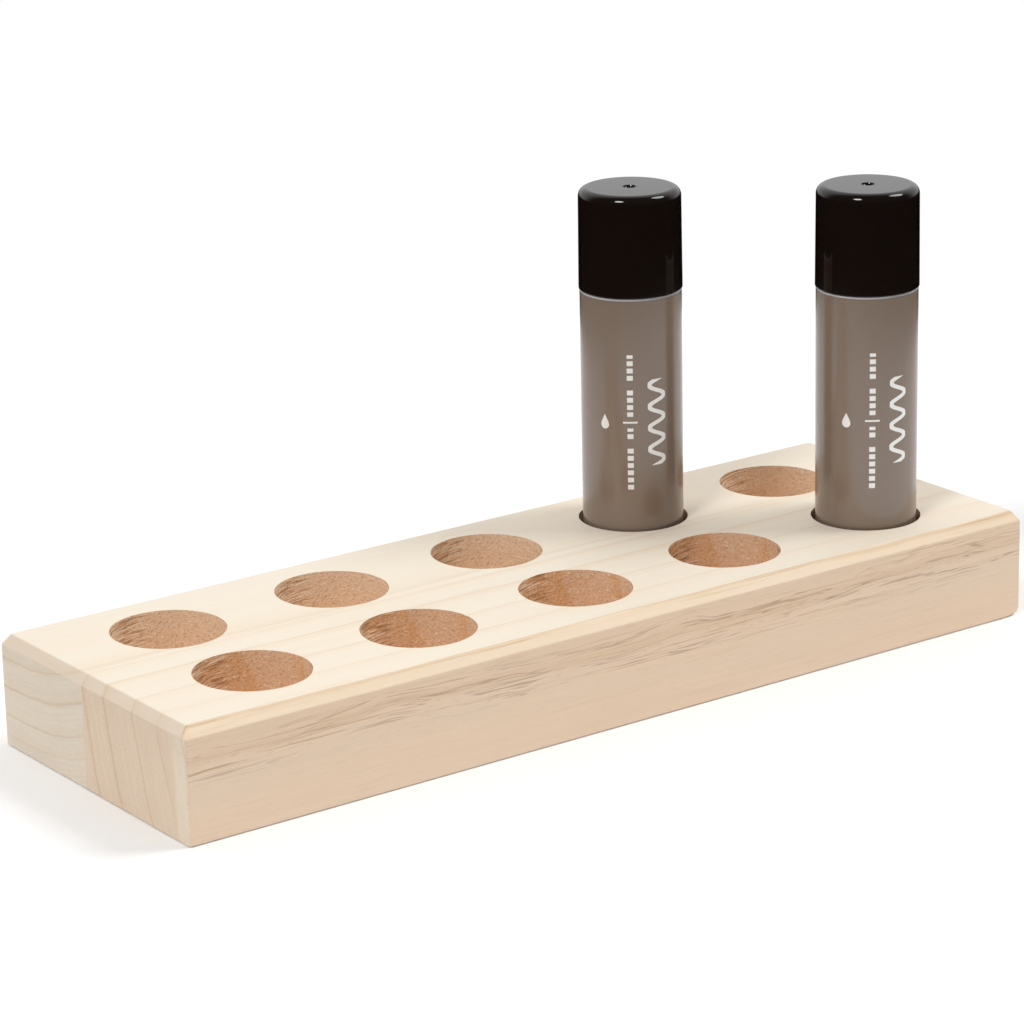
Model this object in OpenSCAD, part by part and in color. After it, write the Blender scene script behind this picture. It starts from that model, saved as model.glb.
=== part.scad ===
// Glue stick holder block: a wooden block with two rows of blind holes,
// stocked with two twist-up glue sticks. Millimetres, +X along the rows, +Z up.
// The origin is the middle of the underside of the block.

/* [Block] */
// Length of the block along its rows of holes
block_l = 270; // [262:1:300]
// Depth of the block from front to back
block_w = 90; // [84:1:110]
// Height of the block
block_h = 30; // [26:0.5:45]
// Width of the front board, the wider of the two that are glued into the block
front_board_w = 49; // [46:0.5:50]
// How far the eased top edges reach in over the top
ease_in = 2; // [0.5:0.1:4]
// How far the eased top edges reach down the sides
ease_down = 2.8; // [0.5:0.1:5]
// Size of the small chamfer on the upright corners
corner_ease = 0.8; // [0.2:0.1:2]

/* [Holes] */
// Diameter of each hole
hole_d = 30; // [29:0.1:31]
// Depth of each blind hole
hole_depth = 20; // [16:0.5:22]
// Distance between neighbouring holes along a row
hole_pitch = 50; // [42:0.5:52]
// Distance between the two rows
row_pitch = 40; // [36:0.5:42]
// Chamfer on each hole's mouth
mouth_ease = 0.4; // [0.1:0.1:1]

/* [Glue stick outside] */
// Height of the stick with its cap on
stick_h = 113; // [110:1:130]
// Outer diameter of the label at the middle of the stick
label_d = 27.8; // [27:0.1:28.2]
// Thickness of the label
label_t = 0.2; // [0.1:0.05:0.4]
// Height of the turning knob at the foot
knob_h = 12; // [9:0.5:16]
// Number of grip flutes round the knob
knob_flutes = 36; // [20:1:48]
// Gap between the knob and the barrel
knob_gap = 0.3; // [0.2:0.1:0.6]

/* [Cap] */
// Height of the cap
cap_h = 28; // [24:0.5:34]
// Outer diameter of the cap at its rim
cap_rim_d = 28.3; // [28:0.1:29]
// Outer diameter of the cap below its rounded top edge
cap_top_d = 27.9; // [27.4:0.1:28.4]
// Radius of the rounded top edge
cap_round = 2.4; // [1:0.1:4]
// Thickness of the cap's roof
cap_roof = 1.5; // [1:0.1:2]
// Diameter of the moulding dimple in the roof
dimple_d = 3; // [2:0.5:5]

/* [Barrel and drive] */
// Outer diameter of the neck that the cap closes on
neck_d = 25; // [24.6:0.1:25.4]
// Height of the neck above the shoulder
neck_h = 12; // [8:0.5:16]
// Inner diameter of the barrel
bore_d = 22.6; // [21:0.1:23]
// Diameter of the glue
glue_d = 22; // [20:0.1:22.2]
// Lead of the screw: how far the glue rises for one turn of the knob
screw_lead = 4; // [3:0.5:6]
// Crest diameter of the screw
screw_d = 6; // [5:0.1:7]

/* [Hidden] */
$fn = 96;
eps = 0.01;
sliver = 1;                                   // overshoot of a cutting tool

wood = [0.90, 0.80, 0.66];
taupe = [0.46, 0.41, 0.37];
jet = [0.04, 0.03, 0.03];
milk = [0.92, 0.92, 0.93];
putty = [0.95, 0.94, 0.88];

holes_per_row = 5;
hole_xs = [for (i = [0:holes_per_row - 1]) (i - (holes_per_row - 1) / 2) * hole_pitch];
row_y = row_pitch / 2;
joint_y = front_board_w - block_w / 2;        // the glue line between the boards
floor_z = block_h - hole_depth;               // the sticks stand on the holes' floors
rear_stick = [hole_xs[3], row_y, floor_z];
front_stick = [hole_xs[4], -row_y, floor_z];

barrel_d = label_d - 2 * label_t;
barrel_z = knob_h + knob_gap;
shoulder_z = stick_h - cap_h;                 // the cap's rim rests on the shoulder
neck_top = shoulder_z + neck_h;
label_z = barrel_z + 0.6;
label_top = shoulder_z - 0.5;
barrel_floor = 2.4;                           // thickness of the barrel's lower end
boss_d = 9;                                   // the knob's boss turns in the barrel's floor
boss_fit = 0.05;                              // radial running clearance of the boss
cap_fit = 0.08;                               // radial clearance of the cap on the neck
cap_rim_gap = 0.05;                           // the rim stands this far off the shoulder

knob_wall = 1.6;
knob_roof = 2;
flute_d = 1.5;
boss_top = barrel_z + barrel_floor + 0.8;
stub_d = 5;                                   // plain lower end of the spindle
stub_z = knob_h - 6;

carrier_z = boss_top + 0.7;
carrier_base = 2;
carrier_h = 9;
carrier_wall = 0.8;
hub_d = 10;                                   // the carrier's threaded hub
hub_h = 6;
nut_clear = 0.35;                             // radial clearance round the screw's crests
core_clear = 0.6;                             // radial clearance inside the glue

glue_top = neck_top + 1;
glue_z = carrier_z + carrier_base;
spindle_top = glue_top - 14;
screw_eccentric = 0.6;                        // a round core wound off-centre makes the screw
turn_steps = 12;                              // facets in one turn of the screw
core_top = spindle_top + 1;

key_w = 1.6;                                  // ribs that stop the carrier turning
key_t = 0.8;
key_clear = 0.3;

// The outline of the block seen from above, with its upright corners eased.
module block_outline(inset) {
    x = block_l / 2 - inset;
    y = block_w / 2 - inset;
    c = corner_ease;
    polygon([[-x + c, -y], [x - c, -y], [x, -y + c], [x, y - c],
             [x - c, y], [-x + c, y], [-x, y - c], [-x, -y + c]]);
}

// A bar that planes one long top edge off, along X at the front.
module edge_cut(half_w, l) {
    rotate([90, 0, 90])
        translate([0, 0, -l / 2])
            linear_extrude(l)
                polygon([[-half_w - sliver, block_h - ease_down - sliver * ease_down / ease_in],
                         [-half_w + ease_in + sliver, block_h + sliver * ease_down / ease_in],
                         [-half_w - sliver, block_h + sliver * ease_down / ease_in]]);
}

// The whole block before it is divided into its two boards.
module block() {
    difference() {
        linear_extrude(block_h) block_outline(0);
        for (turn = [0, 180]) {
            rotate(turn) edge_cut(block_w / 2, block_l + 2 * sliver);
            rotate(turn + 90) edge_cut(block_l / 2, block_w + 2 * sliver);
        }
        for (x = hole_xs, y = [-row_y, row_y])
            translate([x, y, 0]) hole();
    }
}

// One blind hole with its eased mouth, as a cutting tool.
module hole() {
    translate([0, 0, floor_z]) cylinder(d = hole_d, h = hole_depth + sliver);
    translate([0, 0, block_h - mouth_ease])
        cylinder(d1 = hole_d, d2 = hole_d + 2 * mouth_ease + 2 * eps, h = mouth_ease + eps);
}

// A slice of the block between two values of y.
module board(y_low, y_high) {
    intersection() {
        block();
        translate([-block_l, y_low, -sliver])
            cube([2 * block_l, y_high - y_low, block_h + 2 * sliver]);
    }
}

module front_board() {
    color(wood) board(-block_w, joint_y);
}

module rear_board() {
    color(wood) board(joint_y, block_w);
}

// A cup-shaped cap: drafted outside, rounded over the top, with a dimple in the roof.
module cap() {
    r_rim = cap_rim_d / 2;
    r_top = cap_top_d / 2;
    r_in = neck_d / 2 + cap_fit;
    z0 = shoulder_z + cap_rim_gap;
    corner = [for (a = [0:15:90])
        [r_top - cap_round + cap_round * cos(a), stick_h - cap_round + cap_round * sin(a)]];
    color(jet)
    difference() {
        rotate_extrude()
            polygon(concat([[0, z0], [r_rim - 0.4, z0], [r_rim, z0 + 0.4]],
                           corner, [[0, stick_h]]));
        translate([0, 0, z0 - sliver]) cylinder(r = r_in, h = cap_h - cap_roof + sliver);
        translate([0, 0, stick_h - 0.5]) cylinder(d = dimple_d, h = sliver);
    }
}

// The printed label: a thin sleeve round the barrel.
module label() {
    color(taupe)
    translate([0, 0, label_z])
    difference() {
        cylinder(d = label_d, h = label_top - label_z);
        translate([0, 0, -sliver]) cylinder(d = barrel_d, h = label_top - label_z + 2 * sliver);
    }
}

// Two bars across the bore that stop the carrier and the glue from turning.
module keys(grow) {
    for (side = [0, 180])
        rotate(side)
            translate([bore_d / 2 - key_t - grow, -key_w / 2 - grow, 0])
                cube([key_t + grow + sliver, key_w + 2 * grow, stick_h]);
}

// The barrel: a tube with a bored floor, a shoulder and a neck, and two inner ribs.
module barrel() {
    top = neck_top;
    color(milk) {
        difference() {
            union() {
                translate([0, 0, barrel_z]) cylinder(d = barrel_d, h = shoulder_z - barrel_z);
                translate([0, 0, barrel_z]) cylinder(d = neck_d, h = top - barrel_z);
            }
            translate([0, 0, barrel_z + barrel_floor]) cylinder(d = bore_d, h = stick_h);
            translate([0, 0, barrel_z - sliver])
                cylinder(d = boss_d + 2 * boss_fit, h = barrel_floor + 2 * sliver);
        }
        intersection() {
            keys(0);
            translate([0, 0, barrel_z + barrel_floor - eps])
                cylinder(d = bore_d + 1, h = top - barrel_z - barrel_floor - 2);
        }
    }
}

// The turning knob: a fluted cup with a boss that turns in the barrel's floor.
module knob() {
    r = barrel_d / 2;
    color(milk)
    difference() {
        union() {
            linear_extrude(knob_h)
                difference() {
                    circle(r);
                    for (i = [0:knob_flutes - 1])
                        rotate(i * 360 / knob_flutes)
                            translate([r + flute_d / 4, 0]) circle(d = flute_d, $fn = 16);
                }
            translate([0, 0, knob_h - eps]) cylinder(d = boss_d, h = boss_top - knob_h + eps);
        }
        difference() {
            translate([0, 0, -sliver])
                cylinder(r = r - knob_wall, h = knob_h - knob_roof + sliver);
            translate([0, 0, stub_z - 2]) cylinder(d = boss_d, h = knob_h);
        }
        translate([0, 0, stub_z]) cylinder(d = stub_d, h = boss_top);
    }
}

// The screw spindle: a plain stub pressed into the knob and a coarse screw above it.
module spindle() {
    h = spindle_top - boss_top;
    color(milk) {
        translate([0, 0, stub_z]) cylinder(d = stub_d, h = boss_top - stub_z + eps);
        translate([0, 0, boss_top])
            linear_extrude(h, twist = -360 * h / screw_lead,
                           slices = ceil(h / screw_lead * turn_steps), $fn = turn_steps)
                translate([screw_eccentric, 0]) circle(d = screw_d - 2 * screw_eccentric);
    }
}

// The carrier: a keyed cup with a hub that the screw passes through.
module carrier() {
    color(milk)
    translate([0, 0, carrier_z])
    difference() {
        cylinder(d = glue_d, h = carrier_h);
        difference() {
            translate([0, 0, carrier_base])
                cylinder(d = glue_d - 2 * carrier_wall, h = carrier_h);
            cylinder(d = hub_d, h = carrier_base + hub_h);
        }
        translate([0, 0, -sliver]) cylinder(d = screw_d + 2 * nut_clear, h = stick_h);
        translate([0, 0, -sliver]) keys(key_clear);
    }
}

// The glue: a keyed column cast into the carrier, hollow round the screw.
module glue() {
    in_cup_d = glue_d - 2 * carrier_wall;
    cup_top = carrier_z + carrier_h;
    color(putty)
    difference() {
        union() {
            translate([0, 0, glue_z]) cylinder(d = in_cup_d, h = glue_top - glue_z);
            translate([0, 0, cup_top]) cylinder(d = glue_d, h = glue_top - cup_top - 1);
            translate([0, 0, glue_top - 1]) cylinder(d1 = glue_d, d2 = in_cup_d, h = 1);
        }
        translate([0, 0, glue_z - sliver]) cylinder(d = hub_d, h = hub_h + sliver);
        translate([0, 0, glue_z]) cylinder(d = screw_d + 2 * core_clear, h = core_top - glue_z);
        translate([0, 0, cup_top]) keys(key_clear);
    }
}

// Stands a part of a stick in its hole.
module in_hole(place) {
    translate(place) children();
}

front_board();
rear_board();
in_hole(rear_stick) cap();  // rear_cap
in_hole(rear_stick) label();  // rear_label
in_hole(rear_stick) barrel();  // rear_barrel
in_hole(rear_stick) knob();  // rear_knob
in_hole(rear_stick) spindle();  // rear_spindle
in_hole(rear_stick) carrier();  // rear_carrier
in_hole(rear_stick) glue();  // rear_glue
in_hole(front_stick) cap();  // front_cap
in_hole(front_stick) label();  // front_label
in_hole(front_stick) barrel();  // front_barrel
in_hole(front_stick) knob();  // front_knob
in_hole(front_stick) spindle();  // front_spindle
in_hole(front_stick) carrier();  // front_carrier
in_hole(front_stick) glue();  // front_glue
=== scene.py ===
# %% [markdown]
# # A glue stick holder block
# The object is a bare wooden block with ten blind holes, and two capped glue sticks stand in it.
# The imported model gives every place and size. This script dresses it: it loads the model first and
# keeps its parts, hiding each one that a new piece replaces.

# %% Load the frame
import math

import bpy
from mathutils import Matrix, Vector, noise


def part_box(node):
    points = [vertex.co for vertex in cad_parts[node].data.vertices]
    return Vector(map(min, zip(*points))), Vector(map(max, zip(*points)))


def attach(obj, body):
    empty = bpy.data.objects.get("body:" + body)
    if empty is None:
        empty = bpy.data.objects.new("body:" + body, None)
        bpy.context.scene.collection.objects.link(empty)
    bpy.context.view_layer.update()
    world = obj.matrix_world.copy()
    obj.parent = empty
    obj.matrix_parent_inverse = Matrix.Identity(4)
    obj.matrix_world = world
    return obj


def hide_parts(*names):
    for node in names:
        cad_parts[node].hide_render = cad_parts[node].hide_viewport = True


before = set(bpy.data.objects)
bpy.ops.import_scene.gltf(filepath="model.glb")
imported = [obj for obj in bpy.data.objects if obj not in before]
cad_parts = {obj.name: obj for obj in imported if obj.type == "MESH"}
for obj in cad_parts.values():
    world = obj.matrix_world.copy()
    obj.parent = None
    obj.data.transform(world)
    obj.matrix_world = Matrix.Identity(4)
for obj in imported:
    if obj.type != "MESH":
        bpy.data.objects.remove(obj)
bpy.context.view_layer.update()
MM = 0.001

# %% [markdown]
# ## Reading sizes off the frame
# Sizes are taken from the frame wherever it has them. The boards give the block, and each cap,
# barrel and knob gives its stick. The rest is stated here: the holes, and the slope that eases the
# block's upper edges.

# %% Measure the block and the sticks
front_low, front_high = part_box("front_board")
rear_low, rear_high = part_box("rear_board")
BLOCK_L = front_high.x - front_low.x
BLOCK_W = rear_high.y - front_low.y
BLOCK_H = front_high.z
JOINT_Y = front_high.y
HOLE_R = 15 * MM
HOLE_DEPTH = 20 * MM
HOLE_PITCH = 50 * MM
ROW_Y = 20 * MM
HOLE_FLOOR = BLOCK_H - HOLE_DEPTH
EASE_IN, EASE_DOWN = 2.0 * MM, 2.8 * MM


def stick_axis(stick):
    low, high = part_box(stick + "_barrel")
    return (low + high) / 2


STICKS = {stick: stick_axis(stick) for stick in ("rear", "front")}
print("block in mm:", [round(v / MM, 1) for v in (BLOCK_L, BLOCK_W, BLOCK_H, JOINT_Y)])
print("sticks:", {stick: tuple(round(v / MM, 1) for v in axis) for stick, axis in STICKS.items()})

# %% [markdown]
# ## Hands
# Every operator works on what is selected, and loading leaves the model selected. So each helper
# starts by selecting nothing, and faces or edges are then picked by where they are.

# %% Selecting and editing
NEAR = 0.02 * MM


def only(piece):
    """Makes this piece the selected and active one."""
    if bpy.context.mode != "OBJECT":
        bpy.ops.object.mode_set(mode="OBJECT")
    bpy.ops.object.select_all(action="DESELECT")
    piece.select_set(True)
    bpy.context.view_layer.objects.active = piece


def pick(piece, kind, test):
    """Goes into edit mode with the faces, edges or vertices selected that pass the test."""
    only(piece)
    bpy.ops.object.mode_set(mode="EDIT")
    bpy.ops.mesh.select_mode(type=kind)
    bpy.ops.mesh.select_all(action="DESELECT")
    bpy.ops.object.mode_set(mode="OBJECT")
    mesh = piece.data
    items = {"FACE": mesh.polygons, "EDGE": mesh.edges, "VERT": mesh.vertices}[kind]
    chosen = 0
    for item in items:
        item.select = bool(test(item))
        chosen += item.select
    bpy.ops.object.mode_set(mode="EDIT")
    return chosen


def done():
    """Goes back to object mode."""
    bpy.ops.object.mode_set(mode="OBJECT")


def settle(piece):
    """Puts the piece's place into its mesh, as a model node's is."""
    only(piece)
    bpy.ops.object.transform_apply(location=True, rotation=True, scale=True)


def apply_modifier(piece, kind, **settings):
    """Adds a modifier to the piece and makes its result the piece's own mesh."""
    only(piece)
    modifier = piece.modifiers.new(kind.title(), kind)
    for key, value in settings.items():
        setattr(modifier, key, value)
    bpy.ops.object.modifier_apply(modifier=modifier.name)


def smooth(piece, degrees):
    """Smooths the soft edges, and lets each big flat face keep its own exact direction."""
    only(piece)
    bpy.ops.object.shade_smooth_by_angle(angle=math.radians(degrees))
    apply_modifier(piece, "WEIGHTED_NORMAL", mode="FACE_AREA", weight=50, keep_sharp=True)


def extrude(z):
    """Draws the selected faces straight up by z, or down if z is negative."""
    bpy.ops.mesh.extrude_region_move(TRANSFORM_OT_translate={"value": (0, 0, z)})


def combine(piece, tool, operation):
    """Cuts the tool out of the piece or welds it on, and throws the tool away."""
    apply_modifier(piece, "BOOLEAN", operation=operation, solver="MANIFOLD", object=tool)
    bpy.data.objects.remove(tool)


# %% [markdown]
# ## The camera
# The view is a long lens a little above the block, off its front left corner, tipped by a degree.
# It is placed by turning round a point near the middle of the block.

# %% Camera
VIEW_AZIMUTH = math.radians(-35.67)
VIEW_ELEVATION = math.radians(17.54)
VIEW_ROLL = math.radians(-1.24)
VIEW_DISTANCE = 1042.8 * MM
AIM_RIGHT, AIM_UP = -5.5 * MM, 43.8 * MM
SENSOR = 36
LENS = 3.802734 * SENSOR

bpy.ops.object.camera_add()
camera = bpy.context.object
camera.data.sensor_width = SENSOR
camera.data.lens = LENS
camera.rotation_mode = "XYZ"
camera.rotation_euler = (math.pi / 2 - VIEW_ELEVATION, 0, VIEW_AZIMUTH)
turn = camera.rotation_euler.to_matrix()
turn = turn @ turn.Rotation(VIEW_ROLL, 3, "Z")
camera.rotation_euler = turn.to_euler("XYZ")
camera.location = turn @ Vector((AIM_RIGHT, AIM_UP, VIEW_DISTANCE))
camera.data.clip_start, camera.data.clip_end = 0.05, 60
bpy.context.scene.camera = camera
print("camera at mm:", [round(v / MM) for v in camera.location])

# %% [markdown]
# ## Values that paint
# A finish is a little sum: noise plus rings times colour. Node by node that is slow to write and
# to read, so a small class wraps a node's socket and lets the sum be written as Python. Colours
# go through Mix nodes, and any other node comes from one method.


# %% A class for shader sums
class Signal:
    """A value on its way through one finish's nodes."""

    def __init__(self, finish, socket):
        self.finish = finish
        self.socket = socket

    def math(self, operation, *others):
        return self.finish.node("Math", {"operation": operation}, self, *others)

    def __add__(self, other):
        return self.math("ADD", other)

    def __mul__(self, other):
        return self.math("MULTIPLY", other)

    def __sub__(self, other):
        return self.math("SUBTRACT", other)

    def __rsub__(self, other):
        return self.finish.node("Math", {"operation": "SUBTRACT"}, other, self)

    def __truediv__(self, other):
        return self.math("DIVIDE", other)

    __radd__ = __add__
    __rmul__ = __mul__

    def __abs__(self):
        return self.math("ABSOLUTE")

    def __pow__(self, other):
        return self.math("POWER", other)

    def least(self, other):
        return self.math("MINIMUM", other)

    def most(self, other):
        return self.math("MAXIMUM", other)

    def step(self, low, high):
        """0 below low, 1 above high, and a smooth ramp between. It falls if low is the larger."""
        settings = {"interpolation_type": "SMOOTHSTEP"}
        if low < high:
            return self.finish.node("MapRange", settings, self, low, high, 0.0, 1.0)
        return self.finish.node("MapRange", settings, self, high, low, 1.0, 0.0)


class Sums:
    """A node tree that is written as sums."""

    def __init__(self, tree):
        self.tree = tree

    def node(self, kind, settings, *values, out=0, **named):
        """Any node, from its kind, its settings, and its sockets in order or by name."""
        made = self.tree.nodes.new("ShaderNode" + kind)
        for key, value in settings.items():
            setattr(made, key, value)
        by_order = zip(made.inputs, values)
        by_name = ((made.inputs[key], value) for key, value in named.items())
        for socket, value in (*by_order, *by_name):
            if isinstance(value, Signal):
                self.tree.links.new(value.socket, socket)
            elif value is not None:
                socket.default_value = value
        return Signal(self, made.outputs[out])


class Finish(Sums):
    """A material of its own, whose sums feed one Principled shader."""

    def __init__(self, name):
        self.material = bpy.data.materials.new(name)
        self.material.use_nodes = True
        super().__init__(self.material.node_tree)
        self.shader = self.tree.nodes["Principled BSDF"]

    def place(self):
        """x, y and z of the point on the piece, in millimetres."""
        point = self.node("TexCoord", {}, out="Object")
        scaled = self.node("VectorMath", {"operation": "SCALE"}, point, Scale=1 / MM)
        return [self.node("SeparateXYZ", {}, scaled, out=i) for i in range(3)]

    def in_grains(self, place, grain, shift):
        """The point counted in grains along each axis, moved along x by the shift."""
        x, y, z = place
        return self.node("CombineXYZ", {}, x / grain[0] + shift, y / grain[1], z / grain[2])

    def noise(self, place, grain, detail=2.0, shift=0.0, rough=0.5):
        """Smooth noise from -1 to 1. grain is its blobs' size along x, y and z in millimetres."""
        spot = self.in_grains(place, grain, shift)
        value = self.node("TexNoise", {}, spot, None, 1.0, detail, rough)
        return value * 2.0 - 1.0

    def cells(self, place, grain, shift):
        """Distance to the nearest of many scattered points, in cells of the grain's size."""
        spot = self.in_grains(place, grain, shift)
        return self.node("TexVoronoi", {}, spot, None, 1.0, out="Distance")

    def mix(self, base, over, share):
        """One colour laid over another by a share. Each may be a Signal or three numbers."""
        made = self.tree.nodes.new("ShaderNodeMix")
        made.data_type = "RGBA"
        factor, first, second = (made.inputs[i] for i in (0, 6, 7))
        for socket, value in ((factor, share), (first, base), (second, over)):
            if isinstance(value, Signal):
                self.tree.links.new(value.socket, socket)
            elif isinstance(value, tuple):
                socket.default_value = (*value, 1.0)
            else:
                socket.default_value = value
        return Signal(self, made.outputs[2])

    def shade(self, colour, amount):
        """The colour made lighter or darker: multiplied by the amount."""
        return self.node("VectorMath", {"operation": "SCALE"}, colour, Scale=amount)

    def set(self, **sockets):
        """Feeds the shader: names are written with _ for a space."""
        for key, value in sockets.items():
            socket = self.shader.inputs[key.replace("_", " ")]
            if isinstance(value, Signal):
                self.tree.links.new(value.socket, socket)
            elif isinstance(value, tuple):
                socket.default_value = (*value, 1.0)[:len(socket.default_value)]
            else:
                socket.default_value = value

    def bump(self, height, distance, strength=1.0):
        """Relief of a height in millimetres times the distance."""
        relief = self.node("Bump", {}, Strength=strength, Distance=distance * MM, Height=height)
        self.set(Normal=relief)


print("shader sums are ready")

# %% [markdown]
# ## Wood that is solid
# A real board shows the same growth rings on its end, its top and its side, because the rings run
# through it. So the wood is worked out in depth: rings are round about the tree's pith, far outside
# each board, and wander a little along it. The front board was sawn with its rings on edge and the
# rear one with its rings lying flat, which is why their ends look different at the glue line.
# A ring is given as its radius, in millimetres from the pith, and its strength. The other values
# keep the boards' noise apart, redden a board's end, and brown the walls of its holes, partly as the
# bit burnished them and partly as painted shade for the dim light inside a hole.

# %% How each board was sawn
BOARDS = {
    "front_board": {
        "pith": (-146.0, 50.0),
        "rings": ((105.2, 1.5), (116.1, 0.55), (128.0, 0.65), (141.4, 0.9), (151.6, 0.9)),
        "shift": 3.7, "blush": 0.46, "bored": 0.95, "wall": (0.85, 0.58, 0.38),
    },
    "rear_board": {
        "pith": (40.0, 116.0),
        "rings": ((84.5, 0.4), (92.2, 0.55), (100.0, 0.7), (107.8, 0.45), (113.5, 0.3)),
        "shift": 11.3, "blush": 0.08, "bored": 0.10, "wall": (0.90, 0.665, 0.465),
    },
}
CREAM = (0.86, 0.785, 0.67)
STRAW = (0.80, 0.64, 0.44)
ROSE = (0.84, 0.60, 0.41)
TAN = (0.60, 0.39, 0.20)
BROWN = (0.30, 0.17, 0.09)
SAPWOOD = (0.90, 0.79, 0.64)
RESIN = (0.82, 0.49, 0.25)
LIFTED_FIBRE_AND_RIDGE_LIGHT = (0.97, 0.82, 0.62)
TEAR_SHADE_AND_SPECK = (0.42, 0.22, 0.10)
SAPWOOD_EDGE = (-38.6, -40.4)
TEAR_TURN = math.radians(28)


def growth(finish, board):
    """The rings as values, each from 0 to 1, and a fine texture that follows the rings."""
    sawn = BOARDS[board]
    x, y, z = place = finish.place()
    shift = sawn["shift"]
    wander = finish.noise(place, (95, 30, 30), 1.0, shift) * 1.5
    wander += finish.noise(place, (26, 7, 7), 2.0, shift + 5) * 0.6
    across = y - sawn["pith"][0]
    up = z - sawn["pith"][1]
    radius = (across * across + up * up) ** 0.5 + wander
    round_tree = up.math("ARCTAN2", across) * 100.0
    year = {"line": 0.0, "near": 0.0, "dense": 0.0, "open": 0.0}
    for ring, strength in sawn["rings"]:
        inside = ring - radius
        year["line"] += abs(inside).step(0.60, 0.05) * strength
        year["near"] += abs(inside + 0.4).step(2.6, 0.2) * strength
        year["dense"] += inside.step(4.5, 0.0) * inside.step(-0.3, 0.1) * strength
        year["open"] += inside.step(-4.5, -0.3) * inside.step(0.2, -0.2)
    year["fine"] = finish.noise((x, radius, round_tree), (70, 0.55, 18), 3.0, shift + 1, 0.6)
    year["broad"] = finish.noise((x, radius, round_tree), (90, 2.4, 40), 2.0, shift + 3, 0.5)
    year["vein"] = abs(finish.noise((x, radius, round_tree), (55, 0.42, 12), 2.0, shift + 8, 0.55))
    return place, year


def pores(finish, place, shift):
    """Short dark vessels along the grain, as dashes on a face and as dots on an end."""
    long_ones = finish.cells(place, (6.5, 0.42, 0.42), shift).step(0.20, 0.06)
    short_ones = finish.cells(place, (3.0, 0.30, 0.30), shift + 9).step(0.20, 0.06)
    return long_ones, short_ones


def planed_wood(board):
    """The outside of a board: planed, sanded and bare."""
    finish = Finish(board + "_planed")
    shift = BOARDS[board]["shift"]
    place, year = growth(finish, board)
    long_ones, short_ones = pores(finish, place, shift)
    x, y, z = place
    half_l, half_w, high = (v / MM for v in (BLOCK_L / 2, BLOCK_W / 2, BLOCK_H))
    ease_in, ease_down = EASE_IN / MM, EASE_DOWN / MM
    sloped = z.step(high - ease_down - 0.1, high - ease_down + 0.2)
    end_slope = abs(x).step(half_l - ease_in - 0.2, half_l - ease_in + 0.1) * sloped
    side_slope = abs(y).step(half_w - ease_in - 0.2, half_w - ease_in + 0.1) * sloped
    end = abs(x).step(half_l - 0.7, half_l - 0.2) * (1.0 - sloped)
    side = abs(y).step(half_w - 0.7, half_w - 0.2) * (1.0 - sloped)
    fibre = finish.noise(place, (34, 0.40, 0.40), 3.0, shift)
    thread = finish.noise(place, (42, 0.50, 0.50), 2.0, shift + 8, 0.6).step(0.14, 0.46)
    patch = finish.noise(place, (90, 14, 14), 2.0, shift + 4)
    speck = finish.noise(place, (0.45, 0.45, 0.45), 2.0, shift + 6)
    straw = year["dense"] * (0.34 - side * 0.20) + year["broad"] * 0.14 + year["fine"] * 0.10 + 0.14
    colour = finish.mix(CREAM, STRAW, straw.most(0.0))
    # The sides are tinted rose and a little darker than the top: partly the wood's own tone across
    # its grain, partly painted shade for sides that get less light than the top.
    blush = side * 0.58 + end * BOARDS[board]["blush"] + patch * 0.14 + 0.08
    # The eased edges are painted warmer here: painted light for the light that these slopes catch
    # more than the upright faces.
    blush = blush + side_slope * 0.20 + end_slope * 0.28
    colour = finish.mix(colour, ROSE, blush.most(0.0))
    line = year["line"] * (0.24 + end * 0.20 - side * 0.12 + speck * end * 0.12)
    colour = finish.mix(colour, TAN, (line + thread * year["near"] * 0.56).least(0.7))
    comes_and_goes = finish.noise(place, (40, 3, 3), 1.0, shift + 2).step(-0.45, 0.25)
    vein = year["vein"].step(0.050, 0.012) * comes_and_goes
    band = (year["near"] * year["near"] * year["near"]).least(1.0)
    dark_thread = side * (vein * (band * 0.40 + 0.07) + thread * band * 0.12)
    dash = (long_ones * (0.08 + year["open"] * 0.14 + year["near"] * 0.16) + short_ones * 0.08)
    dash = dash * (0.50 + side * 0.50) * (1.0 - end * 0.6) + dark_thread
    colour = finish.mix(colour, BROWN, dash.least(0.62))
    if board == "front_board":
        colour = finish.mix(colour, SAPWOOD, end * y.step(*SAPWOOD_EDGE) * 0.55)
    tone = 1.0 + fibre * (0.022 + side * 0.018) + year["fine"] * (0.025 + end * 0.08)
    # side_slope lightens the eased side edges: painted light on the slopes.
    tone = tone + speck * end * 0.09 - end * 0.09 + side_slope * 0.11
    colour = finish.shade(colour, tone)
    finish.set(Base_Color=colour, Roughness=0.62 + fibre * 0.05, Specular_IOR_Level=0.35)
    finish.bump(fibre * 0.5 - dash * 1.2 + speck * end * 0.8, 0.06, 0.6)
    return finish.material


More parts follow.
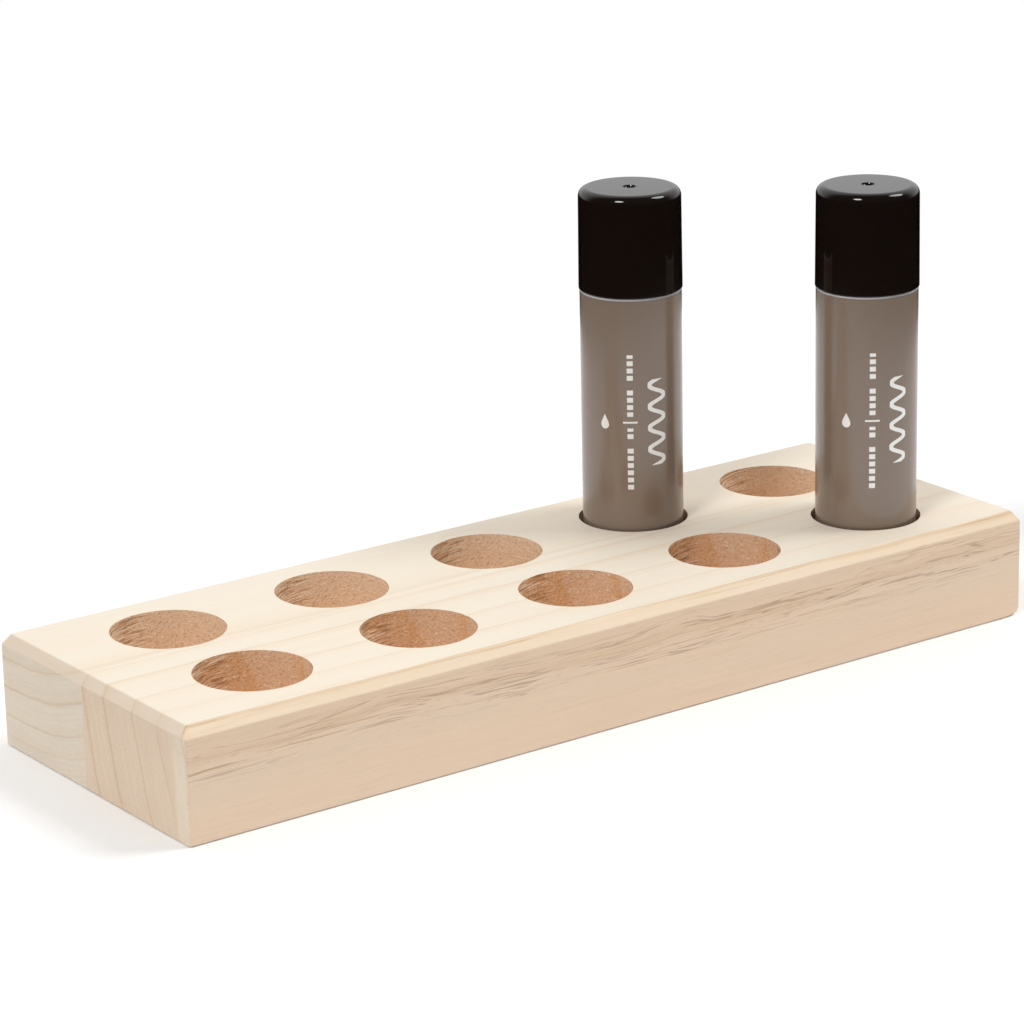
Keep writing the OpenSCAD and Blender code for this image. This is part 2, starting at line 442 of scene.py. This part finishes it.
def bored_wood(board):
    """The wall and floor of a hole: rough, torn where the bit lifted the grain, and browned partly
    by the bit and partly as painted shade.
    """
    finish = Finish(board + "_bored")
    shift = BOARDS[board]["shift"]
    place, year = growth(finish, board)
    x, y, z = place
    pitch, row, radius, floor_z = (v / MM for v in (HOLE_PITCH, ROW_Y, HOLE_R, HOLE_FLOOR))
    hole_x = x - (x / pitch).math("ROUND") * pitch
    hole_y = y - y.math("SIGN") * row
    across = (hole_x * hole_x + hole_y * hole_y).most(0.01)
    lifted = hole_x * hole_y * (-2 * math.cos(TEAR_TURN))
    lifted += (hole_y * hole_y - hole_x * hole_x) * math.sin(TEAR_TURN)
    wall = z.step(floor_z + 0.05, floor_z + 0.40)
    torn = (lifted / across).step(-0.20, 0.60) * wall
    bearing = hole_y.math("ARCTAN2", hole_x) * radius
    scratch = finish.noise((bearing, z - x * 0.06, y), (6.5, 0.62, 30), 3.0, shift, 0.6)
    swirl = finish.noise((across ** 0.5, bearing, z), (0.45, 9.0, 9.0), 2.0, shift + 20)
    swirl = swirl * (1.0 - wall)
    # Where the scratches' bump is raised they are painted pale, and where it is low they are painted
    # dark: painted light on the ridges and painted shade in the grooves of the tears. The bit's
    # swirl on the floor gets pale and dark marks from the same sums.
    pale = scratch.step(0.04, 0.22) * torn + swirl.step(0.1, 0.5) * 0.3
    shadow = scratch.step(-0.04, -0.24) * torn + swirl.step(-0.1, -0.5) * 0.3
    fleck = finish.noise(place, (0.95, 0.95, 0.95), 2.0, shift + 15, 0.7).step(0.04, 0.34)
    speck = finish.noise(place, (0.85, 0.85, 0.85), 2.0, shift + 3, 0.7)
    warm = (year["open"] * 0.9 + year["line"] * 0.3).least(1.0) * BOARDS[board]["bored"]
    light = (fleck * (0.66 - torn * 0.3) + pale * 0.85).least(0.9)
    dark = (shadow * 0.72 + speck.step(0.02, 0.44) * 0.38).least(0.8)
    # The wall colour is browner than the planed wood: partly the bit's burnish, partly painted shade
    # for the dim inside of a hole.
    colour = finish.mix(BOARDS[board]["wall"], RESIN, warm)
    colour = finish.mix(colour, LIFTED_FIBRE_AND_RIDGE_LIGHT, light)
    # This dark colour is painted shade in the tears' grooves, and also the wood's dark specks.
    colour = finish.mix(colour, TEAR_SHADE_AND_SPECK, dark)
    finish.set(Base_Color=colour, Roughness=0.78, Specular_IOR_Level=0.25)
    finish.bump(speck * (1.0 - torn * 0.5) + scratch * torn * 1.8 + fleck * 0.4, 0.25, 0.8)
    return finish.material


wood = {board: (planed_wood(board), bored_wood(board)) for board in BOARDS}
print("woods:", [m.name for pair in wood.values() for m in pair])

# %% [markdown]
# ## The bit's marks
# A hole is cut by a tool, so a cutting tool is modelled first: a tall drum whose wall is already
# torn, with a slightly fuzzy mouth. A bit turning through wood lifts the grain in two quarters of
# each turn and shears it cleanly in the other two. The relief is real geometry, because it catches
# the light at the mouth, and finer grain is left to the finish.

# %% A drum that cuts a torn hole
DRUM_SIDES = 168
DRUM_RINGS = 34
MOUTH_FLARE, FLARE_REACH = 0.05 * MM, 0.7 * MM
OVERSHOOT = 1.0 * MM
DEEPEST_TEAR = 0.9 * MM


def torn_depth(angle, z, seed):
    """How far the wall is torn outwards at an angle round the hole and a height, in metres."""
    arc = angle * HOLE_R / MM
    height = z / MM
    against_grain = max(0.0, -math.sin(2 * angle + TEAR_TURN)) ** 0.8
    groove = noise.noise(Vector((arc / 6.5, height / 0.9, seed)))
    fine = noise.noise(Vector((arc / 3.0, height / 0.55, seed + 7)))
    fuzz = noise.noise(Vector((arc / 0.7, height / 0.7, seed + 13)))
    groove = abs(groove) * 0.62 + abs(fine) * 0.30
    below_mouth = min(1.0, max(0.0, (BLOCK_H - z) / (1.2 * MM)))
    return (against_grain * groove * (0.15 + 0.85 * below_mouth) + abs(fuzz) * 0.05) * MM


def drum(x, y, seed):
    """One cutting drum standing on the hole's floor."""
    bpy.ops.mesh.primitive_circle_add(
        vertices=DRUM_SIDES, radius=HOLE_R, fill_type="NGON", location=(x, y, HOLE_FLOOR))
    tool = bpy.context.object
    settle(tool)
    bpy.ops.object.mode_set(mode="EDIT")
    bpy.ops.mesh.select_all(action="SELECT")
    for ring in range(DRUM_RINGS):
        extrude((HOLE_DEPTH + OVERSHOOT) / DRUM_RINGS)
    bpy.ops.mesh.select_all(action="SELECT")
    bpy.ops.mesh.normals_make_consistent(inside=False)
    done()
    for vertex in tool.data.vertices:
        out = Vector((vertex.co.x - x, vertex.co.y - y, 0))
        angle = math.atan2(out.y, out.x)
        flare = max(0.0, 1 - abs(BLOCK_H - vertex.co.z) / FLARE_REACH) * MOUTH_FLARE
        if vertex.co.z > HOLE_FLOOR + NEAR:
            vertex.co += out.normalized() * (torn_depth(angle, vertex.co.z, seed) + flare)
    return tool


# %% [markdown]
# ## The block
# The two boards were glued first and machined as one block, so they are modelled in that order.
# A box's top is raised with an inset so that the eased edges slope as the plane left them. Every
# long new edge is rounded a touch, as sandpaper does, and the corners lose their sharpness. The
# lower edge of one end was sanded rounder than the rest.

# %% Build the block
CORNER_EASE, SANDED, WORN_END = 0.7 * MM, 0.35 * MM, 2.4 * MM


def corner_at(block, wanted):
    """A test for the edges that climb at one corner of the block."""
    reach = 2 * EASE_IN

    def test(edge):
        a, b = (block.data.vertices[i].co for i in edge.vertices)
        return abs(a.z - b.z) > 0.1 * NEAR and (a.xy - Vector(wanted)).length < reach
    return test


def level_edge(block, lowest, x=None):
    """A test for level edges above a height, or for the bottom edge at one end."""
    def test(edge):
        a, b = (block.data.vertices[i].co for i in edge.vertices)
        at_end = x is None or (abs(a.x - x) < NEAR and abs(b.x - x) < NEAR and a.z < NEAR)
        return min(a.z, b.z) > lowest - NEAR and abs(a.z - b.z) < NEAR and at_end
    return test


def make_block():
    half_l, half_w = BLOCK_L / 2, BLOCK_W / 2
    base_h = BLOCK_H - EASE_DOWN
    bpy.ops.mesh.primitive_cube_add(size=1, location=(0, 0, base_h / 2))
    block = bpy.context.object
    block.name = "block_blank"
    block.scale = (BLOCK_L, BLOCK_W, base_h)
    settle(block)
    pick(block, "FACE", lambda face: face.normal.z > 0.9)
    bpy.ops.mesh.inset(thickness=EASE_IN, depth=EASE_DOWN)
    done()
    pick(block, "EDGE", level_edge(block, 0, half_l))
    bpy.ops.mesh.bevel(offset=WORN_END, segments=6, affect="EDGES")
    done()
    pick(block, "EDGE", level_edge(block, base_h))
    bpy.ops.mesh.bevel(offset=SANDED, segments=3, affect="EDGES")
    done()
    for sx in (-1, 1):
        for sy in (-1, 1):
            pick(block, "EDGE", corner_at(block, (sx * half_l, sy * half_w)))
            bpy.ops.mesh.bevel(offset=CORNER_EASE, segments=3, affect="EDGES")
            done()
    return block


block = make_block()
print("block faces before boring:", len(block.data.polygons))

# %% [markdown]
# ## Boring
# One drum is taken away at a time, as one bit bores one hole at a time. Ten drums at once also gave
# the Boolean more than it could solve. Lines are scored between the holes first, so that no face of
# the block has two holes in it.

# %% Bore the holes
scores = [((x * HOLE_PITCH, 0, 0), (1, 0, 0)) for x in (-1.5, -0.5, 0.5, 1.5)]
for spot, facing in (*scores, ((0, JOINT_Y, 0), (0, 1, 0))):
    pick(block, "FACE", lambda face: True)
    bpy.ops.mesh.bisect(plane_co=spot, plane_no=facing)
    done()
for row, y in enumerate((-ROW_Y, ROW_Y)):
    for i in range(5):
        combine(block, drum((i - 2) * HOLE_PITCH, y, seed=2.3 + 10 * row + 1.7 * i), "DIFFERENCE")
print("block faces after boring:", len(block.data.polygons))


# %% [markdown]
# ## Two boards
# Each board is a copy of the bored block, cut at the glue line and closed there, so the two meet
# without a step. Faces inside a hole take the rough finish and the rest take the planed one.

# %% Saw the block into its boards
def in_a_hole(centre):
    """Is this point on a hole's wall or floor?"""
    x = centre.x - round(centre.x / HOLE_PITCH) * HOLE_PITCH
    y = abs(centre.y) - ROW_Y
    outside = abs(centre.x) > BLOCK_L / 2 - 3 * MM or centre.z < NEAR
    inside = math.hypot(x, y) < HOLE_R + DEEPEST_TEAR and centre.z < BLOCK_H - NEAR
    return inside and not outside


def saw(name, front):
    """One board: a copy of the block, cut at the glue line and closed there."""
    only(block)
    bpy.ops.object.duplicate()
    board = bpy.context.object
    board.name = name + "_wood"
    pick(board, "FACE", lambda face: True)
    bpy.ops.mesh.bisect(plane_co=(0, JOINT_Y, 0), plane_no=(0, 1, 0), use_fill=True,
                        clear_outer=front, clear_inner=not front)
    done()
    planed, bored = wood[name]
    board.data.materials.clear()
    board.data.materials.append(planed)
    board.data.materials.append(bored)
    for face in board.data.polygons:
        face.material_index = int(in_a_hole(face.center))
    smooth(board, 30)
    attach(board, "block")
    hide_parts(name)
    return board


front_board = saw("front_board", True)
rear_board = saw("rear_board", False)
bpy.data.objects.remove(block)
for board in (front_board, rear_board):
    print(board.name, len(board.data.polygons), "faces,",
          sum(f.material_index for f in board.data.polygons), "in its holes")

# %% [markdown]
# ## Finishes for the sticks
# The cap is polystyrene, black and glossy. Barrel, knob, carrier and spindle are plain white
# polypropylene, and the glue is a waxy off-white. Even plain plastic has a little life in it: a
# faint moulding texture and slight changes of gloss.


# %% Plastics and glue
def moulded(name, colour, rough, texture, gloss=0.5):
    """Injection-moulded plastic with a faint texture and uneven gloss."""
    finish = Finish(name)
    place = finish.place()
    cloud = finish.noise(place, (9, 9, 14), 2.0)
    grain = finish.noise(place, (0.35, 0.35, 0.35), 2.0, 4.0)
    scuff = finish.noise(place, (1.2, 1.2, 12), 3.0, 8.0).step(0.35, 0.75)
    tint = finish.shade(colour, 1.0 + cloud * 0.03)
    finish.set(Base_Color=tint, Roughness=rough + cloud * 0.02 + scuff * 0.05,
               Specular_IOR_Level=gloss)
    finish.bump(grain + scuff * 0.5, texture, 0.4)
    return finish


black = moulded("cap_black", (0.0094, 0.0055, 0.0042), 0.08, 0.002, 0.38)
white = moulded("barrel_white", (0.80, 0.81, 0.84), 0.38, 0.010)
white.set(Subsurface_Weight=0.15, Subsurface_Radius=(0.6, 0.6, 0.6), Subsurface_Scale=0.002)
putty = moulded("glue_wax", (0.86, 0.85, 0.76), 0.34, 0.030)
putty.set(Subsurface_Weight=0.5, Subsurface_Radius=(1.0, 0.9, 0.7), Subsurface_Scale=0.003)
print("plastics:", black.material.name, white.material.name, putty.material.name)

# %% [markdown]
# ## The printed film
# The label is a taupe film with a glossy lacquer, wrapped round the barrel. Its print is white and
# says nothing: a squiggle of glue, two broken lines with a bar between them, and a drop. A shape is
# drawn as a distance, and what lies within half a line's width of it is ink. Round the stick the
# distance is measured along the film, so the print wraps as a real one does. All of its sizes are
# in millimetres.


# %% Draw the label's print
PRINT_MIDDLE = 60.4
SQUIGGLE_AT, DASHES_AT, DROP_AT = 6.6, -0.95, -8.2
SQUIGGLE_SWING, SQUIGGLE_WAVE = 2.1, 6.0
DASH_BEAT, BAR_UP = 2.05, 0.3
FILM_R = 13.9
FILM_TAUPE = (0.238, 0.175, 0.132)
FILM_INK = (0.97, 0.96, 0.93)


def printed_film(stick, turn):
    """The label's finish. turn is how far its print is turned to the right, in degrees."""
    finish = Finish(stick + "_label_film")
    x, y, z = place = finish.place()
    axis = STICKS[stick] / MM
    forward = VIEW_AZIMUTH - math.pi / 2 + math.radians(turn)
    east, north = x - axis.x, y - axis.y
    ahead = east * math.cos(forward) + north * math.sin(forward)
    right = east * -math.sin(forward) + north * math.cos(forward)
    arc = right.math("ARCTAN2", ahead) * FILM_R
    up = z - PRINT_MIDDLE

    phase = up * (2 * math.pi / SQUIGGLE_WAVE)
    wave = phase.math("SINE") * SQUIGGLE_SWING
    steep = phase.math("COSINE") * (2 * math.pi * SQUIGGLE_SWING / SQUIGGLE_WAVE)
    off_line = abs(arc - SQUIGGLE_AT - wave) / (steep * steep + 1.0) ** 0.5
    squiggle = off_line.step(0.66, 0.52) * abs(up).step(12.2, 12.0)

    off_dashes, off_bar = abs(arc - DASHES_AT), abs(up - BAR_UP)
    beat = (up + 60.0) / DASH_BEAT
    left_out = (beat.math("FLOOR") * 0.618).math("FRACT")
    in_beat = abs(beat.math("FRACT") - 0.5)
    dashes = in_beat.step(0.36, 0.30) * off_dashes.step(0.88, 0.76) * left_out.step(0.10, 0.16)
    dashes = dashes * abs(up).step(19.3, 19.1) * off_bar.step(1.5, 1.8)
    bar = off_bar.step(0.30, 0.20) * off_dashes.step(2.1, 1.9)

    drop_across, drop_up = abs(arc - DROP_AT), up + 0.6
    belly = (drop_across * drop_across + drop_up * drop_up) ** 0.5
    tip = (drop_across * 1.9 + drop_up).step(3.0, 2.7) * drop_up.step(0.4, 0.8)
    drop = belly.step(1.30, 1.15).most(tip * drop_across.step(1.2, 1.1))

    ink = (squiggle + dashes + bar + drop).least(1.0)
    cloud = finish.noise(place, (8, 8, 40), 2.0)
    grain = finish.noise(place, (0.25, 0.25, 0.25), 2.0, 4.0)
    colour = finish.mix(FILM_TAUPE, FILM_INK, ink)
    finish.set(Base_Color=finish.shade(colour, 1.0 + cloud * 0.02 + grain * 0.015),
               Roughness=0.20 + cloud * 0.02, IOR=1.68)
    finish.bump(ink * 0.4 + grain * 0.15 + cloud * 0.6, 0.02, 0.5)
    return finish


film = {"rear": printed_film("rear", 0.0), "front": printed_film("front", 5.5)}
print("films:", [f.material.name for f in film.values()])

# %% [markdown]
# ## Turned and moulded pieces
# Each piece starts as a cylinder on its stick's axis, and is then shaped as its mould shapes it: a
# face is inset and drawn in or out, an edge is rounded, and what a core pin leaves is cut away.


# %% Tools for round pieces
def cylinder(name, axis, radius, low, high, sides=128, ends="NGON"):
    """A cylinder on an axis, from one height to another."""
    bpy.ops.mesh.primitive_cylinder_add(
        vertices=sides, radius=radius, depth=high - low, end_fill_type=ends,
        location=(axis.x, axis.y, (low + high) / 2))
    piece = bpy.context.object
    piece.name = name
    settle(piece)
    return piece


def flat_at(z, up):
    """A test for a round, level end face at a height, facing up or down."""
    def test(face):
        level = abs(face.normal.z) > 0.95 and abs(face.center.z - z) < NEAR
        return level and (face.normal.z > 0) == up and len(face.vertices) > 8
    return test


def rim_at(piece, z):
    """A test for the edges of a ring at a height."""
    def test(edge):
        return all(abs(piece.data.vertices[i].co.z - z) < NEAR for i in edge.vertices)
    return test


def inset_to(piece, z, up, thickness, sink):
    """Insets the end face at a height and draws the inner face along Z by sink."""
    pick(piece, "FACE", flat_at(z, up))
    bpy.ops.mesh.inset(thickness=thickness)
    if sink:
        extrude(sink)
    done()


def round_rim(piece, z, offset, segments):
    """Rounds every edge of the piece that lies level at a height."""
    pick(piece, "EDGE", rim_at(piece, z))
    bpy.ops.mesh.bevel(offset=offset, segments=segments, affect="EDGES")
    done()


def tool_box(axis, size, centre, angle=0.0):
    """A block to cut or add with, turned about the stick's axis."""
    bpy.ops.mesh.primitive_cube_add(size=1)
    tool = bpy.context.object
    tool.scale = size
    tool.location = centre
    settle(tool)
    tool.rotation_euler = (0, 0, angle)
    tool.location = (axis.x, axis.y, 0)
    settle(tool)
    return tool


def dress(piece, stick, stands_for, body, finish, angle=35):
    """The last of each piece: its finish, its smoothness and its place in the frame."""
    piece.data.materials.clear()
    piece.data.materials.append(finish.material)
    smooth(piece, angle)
    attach(piece, stick + "_" + body)
    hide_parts(stick + "_" + stands_for)
    print(piece.name, len(piece.data.polygons), "faces")


print("round tools are ready")

# %% [markdown]
# ## Caps
# The cap narrows a little towards its top so that it leaves the mould, and its top edge is well
# rounded. The dimple in the roof is where the plastic went in. It is sunk in five steps, each of
# them a narrower ring drawn further down.

# %% Model the caps
CAP_TOP_R, CAP_ROUND, CAP_BORE_R = 13.95 * MM, 2.4 * MM, 12.58 * MM
CAP_ROOF, CAP_LIP, DIMPLE_R = 1.5 * MM, 0.35 * MM, 2.0 * MM
DIMPLE_STEPS = ((0.12, -0.04), (0.16, -0.30), (0.24, -0.30), (0.34, -0.22), (0.50, -0.10))


def model_cap(stick):
    axis = STICKS[stick]
    low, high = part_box(stick + "_cap")
    rim_r = (high.x - low.x) / 2
    cap = cylinder(stick + "_cap_shell", axis, rim_r, low.z, high.z)
    pick(cap, "VERT", lambda vertex: vertex.co.z > high.z - NEAR)
    shrink = CAP_TOP_R / rim_r
    bpy.ops.transform.resize(value=(shrink, shrink, 1), center_override=(axis.x, axis.y, high.z))
    done()
    round_rim(cap, high.z, CAP_ROUND, 10)
    round_rim(cap, low.z, CAP_LIP, 3)
    inset_to(cap, low.z, False, rim_r - CAP_LIP - CAP_BORE_R, high.z - CAP_ROOF - low.z)
    inset_to(cap, high.z, True, CAP_TOP_R - CAP_ROUND - DIMPLE_R, 0.0)
    for narrowing, sink in DIMPLE_STEPS:
        bpy.ops.object.mode_set(mode="EDIT")
        bpy.ops.mesh.inset(thickness=narrowing * MM, depth=sink * MM)
        done()
    dress(cap, stick, "cap", "cap", black)


for stick in STICKS:
    model_cap(stick)

# %% [markdown]
# ## Labels and barrels
# The film is a thin tube with a lapped seam at its back. The barrel is what shows as a bright line
# between film and cap: its shoulder, the neck that the cap grips, and the bore with two ribs that
# keep the carrier from turning.

# %% Model the labels and barrels
NECK_R, BORE_R, BARREL_FLOOR, BOSS_R = 12.5 * MM, 11.3 * MM, 2.4 * MM, 4.55 * MM
RIB_W, RIB_T, RIB_SHORT = 1.6 * MM, 0.8 * MM, 2.0 * MM
RIM_GAP = 0.05 * MM
FILM_T, LAP_T = 0.17 * MM, 0.09 * MM
SEAM_ANGLE, LAP_ANGLE = math.radians(50), 0.35


def model_label(stick):
    axis = STICKS[stick]
    low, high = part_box(stick + "_label")
    outer = (high.x - low.x) / 2
    label = cylinder(stick + "_label_film", axis, outer, low.z, high.z, 192, "NOTHING")
    apply_modifier(label, "SOLIDIFY", thickness=FILM_T, offset=-1.0)
    for vertex in label.data.vertices:
        out = Vector((vertex.co.x - axis.x, vertex.co.y - axis.y, 0))
        past_seam = (math.atan2(out.y, out.x) - SEAM_ANGLE) % (2 * math.pi)
        lap = max(0.0, 1 - past_seam / LAP_ANGLE) * LAP_T
        vertex.co += out.normalized() * lap
    dress(label, stick, "label", "stick", film[stick], 30)


def model_barrel(stick):
    axis = STICKS[stick]
    low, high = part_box(stick + "_barrel")
    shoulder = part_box(stick + "_cap")[0].z - RIM_GAP
    outer = (high.x - low.x) / 2
    barrel = cylinder(stick + "_barrel_tube", axis, outer, low.z, shoulder)
    inset_to(barrel, shoulder, True, outer - NECK_R, high.z - shoulder)
    inset_to(barrel, high.z, True, NECK_R - BORE_R, low.z + BARREL_FLOOR - high.z)
    for z, offset in ((low.z, 0.3), (shoulder, 0.15), (high.z, 0.3)):
        round_rim(barrel, z, offset * MM, 3)
    rib_low, rib_high = low.z + BARREL_FLOOR, high.z - RIB_SHORT
    for side in (0, math.pi):
        rib = tool_box(axis, (2 * RIB_T, RIB_W, rib_high - rib_low),
                       (BORE_R, 0, (rib_high + rib_low) / 2), side)
        combine(barrel, rib, "UNION")
    drill = cylinder("drill", axis, BOSS_R, low.z - MM, low.z + BARREL_FLOOR + MM, 64)
    combine(barrel, drill, "DIFFERENCE")
    dress(barrel, stick, "barrel", "stick", white)


for stick in STICKS:
    model_label(stick)
    model_barrel(stick)

# %% [markdown]
# ## Knobs
# The knob is a cup with grip flutes all round and a boss that turns in the barrel's floor. It is
# hollow below, as moulded knobs are. The flutes are pressed in by drawing points of the grip
# towards the axis, which keeps the piece a single closed skin.

# %% Model the knobs
FLUTES, FLUTE_DEPTH, FLUTE_MARGIN = 36, 0.36 * MM, 0.1 * MM
KNOB_H, KNOB_WALL, KNOB_HOLLOW = 12 * MM, 1.6 * MM, 10 * MM
BOSS_OUTER, POST_UP, STUB_R, STUB_OVER = 4.5 * MM, 4 * MM, 2.5 * MM, 2 * MM


def model_knob(stick):
    axis = STICKS[stick]
    low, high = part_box(stick + "_knob")
    outer = (high.x - low.x) / 2
    roof = low.z + KNOB_H
    knob = cylinder(stick + "_knob_grip", axis, outer, low.z, roof, FLUTES * 10)
    inset_to(knob, low.z, False, KNOB_WALL, KNOB_HOLLOW)
    inset_to(knob, roof, True, outer - BOSS_OUTER, high.z - roof)
    for z in (low.z, roof, high.z):
        round_rim(knob, z, 0.2 * MM, 2)

    def in_flute(vertex):
        out = Vector((vertex.co.x - axis.x, vertex.co.y - axis.y))
        place_in_flute = (math.degrees(math.atan2(out.y, out.x)) * FLUTES / 360) % 1.0
        tall = low.z + FLUTE_MARGIN < vertex.co.z < roof - FLUTE_MARGIN
        return out.length > outer - 0.5 * MM and 0.25 < place_in_flute < 0.75 and tall

    chosen = pick(knob, "VERT", in_flute)
    shrink = 1 - FLUTE_DEPTH / outer
    bpy.ops.transform.resize(value=(shrink, shrink, 1), center_override=(axis.x, axis.y, 0))
    done()
    print("flute points:", chosen)
    stem_low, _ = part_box(stick + "_spindle")
    stub = cylinder("stub", axis, STUB_R, stem_low.z - STUB_OVER, high.z + MM, 48)
    post = cylinder("post", axis, BOSS_OUTER, low.z + POST_UP, roof - MM, 48)
    combine(knob, post, "UNION")
    combine(knob, stub, "DIFFERENCE")
    dress(knob, stick, "knob", "drive", white, 30)


for stick in STICKS:
    model_knob(stick)

# %% [markdown]
# ## Glue
# The glue is a cast rod with a soft top edge. It sits on the carrier's cup, so it is narrower
# inside the cup than above it, and it has a hole for the screw and two slots for the barrel's ribs.

# %% Model the glue
GLUE_CORE_R, GLUE_HUB_R, HUB_H = 3.6 * MM, 5.0 * MM, 6.0 * MM
CUP_WALL, KEYWAY_ROOM, KEYWAY_H = 0.8 * MM, 0.6 * MM, 90 * MM
GLUE_ROUND, GLUE_FACE = 1.2 * MM, 3.0 * MM


def model_glue(stick):
    axis = STICKS[stick]
    low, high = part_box(stick + "_glue")
    outer = (high.x - low.x) / 2
    cup_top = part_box(stick + "_carrier")[1].z
    screw_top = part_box(stick + "_spindle")[1].z
    glue = cylinder(stick + "_glue_rod", axis, outer - CUP_WALL, low.z, cup_top)
    inset_to(glue, cup_top, True, NEAR, 0.0)
    rod = cylinder("rod", axis, outer, cup_top, high.z)
    round_rim(rod, high.z, GLUE_ROUND, 6)
    inset_to(rod, high.z, True, GLUE_FACE, 0.0)
    combine(glue, rod, "UNION")
    for side in (0, math.pi):
        keyway = tool_box(axis, (2 * RIB_T + KEYWAY_ROOM, RIB_W + KEYWAY_ROOM, KEYWAY_H),
                          (BORE_R, 0, cup_top + KEYWAY_H / 2), side)
        combine(glue, keyway, "DIFFERENCE")
    core = cylinder("core", axis, GLUE_CORE_R, low.z - MM, screw_top + MM, 48)
    hub = cylinder("hub", axis, GLUE_HUB_R, low.z - MM, low.z + HUB_H, 48)
    combine(core, hub, "UNION")
    combine(glue, core, "DIFFERENCE")
    dress(glue, stick, "glue", "lift", putty)


for stick in STICKS:
    model_glue(stick)

# %% [markdown]
# ## The screw and the carrier
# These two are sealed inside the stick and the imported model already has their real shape, so they
# keep it and only get the white plastic.

# %% Finish the pieces inside
for stick in STICKS:
    for name in ("spindle", "carrier"):
        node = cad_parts[stick + "_" + name]
        for spot in node.material_slots:
            spot.material = white.material
        print(node.name, "keeps its shape, finish", [s.material.name for s in node.material_slots])

# %% [markdown]
# ## Studio
# The block lies on a round white sheet in a white room, a hair above it, so that a thin dark line
# shows where they meet. Two softboxes stand at the left and at the right. The room is bright behind
# the block and dimmer behind the camera, and in reflections that side is nearly black, as if dark
# flags stood there. That is why a black cap reads as black with a grey top.

# %% Floor, sky and lights
SHEET_MIDDLE = (STICKS["rear"] + STICKS["front"]).xy / 2
SHEET_R, SHEET_GAP = 340 * MM, 0.30 * MM
bpy.ops.mesh.primitive_circle_add(
    vertices=96, radius=SHEET_R, fill_type="NGON", location=(*SHEET_MIDDLE, -SHEET_GAP))
floor = bpy.context.object
floor.name = "studio_floor"
settle(floor)
paper = Finish("studio_paper")
mottle = 1.0 + paper.noise(paper.place(), (30, 30, 30)) * 0.004
paper.set(Base_Color=paper.shade((0.97, 0.97, 0.97), mottle),
          Roughness=0.85, Specular_IOR_Level=0.2)
floor.data.materials.append(paper.material)

BEHIND = Vector((0.583, 0.812, 0.0))
SKY_BACK, SKY_FRONT, FLAG = 0.95, 0.32, 0.04
LIGHT_DISTANCE = 2.6
bpy.context.scene.world = world = bpy.data.worlds.new("studio_sky")
world.use_nodes = True
sky = Sums(world.node_tree)
way = sky.node("TexCoord", {}, out="Generated")
behind = sky.node("VectorMath", {"operation": "DOT_PRODUCT"}, way, BEHIND, out="Value")
up = sky.node("SeparateXYZ", {}, way, out=2)
room = behind.step(-0.25, 0.45) * (SKY_BACK - SKY_FRONT) + SKY_FRONT
flagged = behind.step(0.05, 0.60) * (SKY_BACK - FLAG) + FLAG
is_glossy = sky.node("LightPath", {}, out="Is Glossy Ray")
is_camera = sky.node("LightPath", {}, out="Is Camera Ray")
light = (room + (flagged - room) * is_glossy) * up.step(-0.12, 0.10)
seen = light + (1.0 - light) * is_camera
sky.tree.links.new(seen.socket, sky.tree.nodes["Background"].inputs["Strength"])
sky.tree.nodes["Background"].inputs["Color"].default_value = (1, 1, 1, 1)


def softbox(name, toward, elevation, size, power):
    """A round area light that looks at the middle of the block from a bearing and an elevation."""
    way = Vector((*toward, 0)).normalized() * math.cos(math.radians(elevation))
    way.z = math.sin(math.radians(elevation))
    bpy.ops.object.light_add(type="AREA", location=way * LIGHT_DISTANCE)
    light = bpy.context.object
    light.name = name
    light.data.shape = "DISK"
    light.data.size = size
    light.data.energy = power
    light.rotation_euler = way.to_track_quat("Z", "Y").to_euler()


softbox("softbox_left", (-0.918, -0.396), elevation=49, size=0.70, power=26.6)
softbox("softbox_right", (0.922, -0.385), elevation=53, size=0.95, power=22.8)
scene = bpy.context.scene
scene.view_settings.view_transform = "Standard"
scene.view_settings.look = "None"
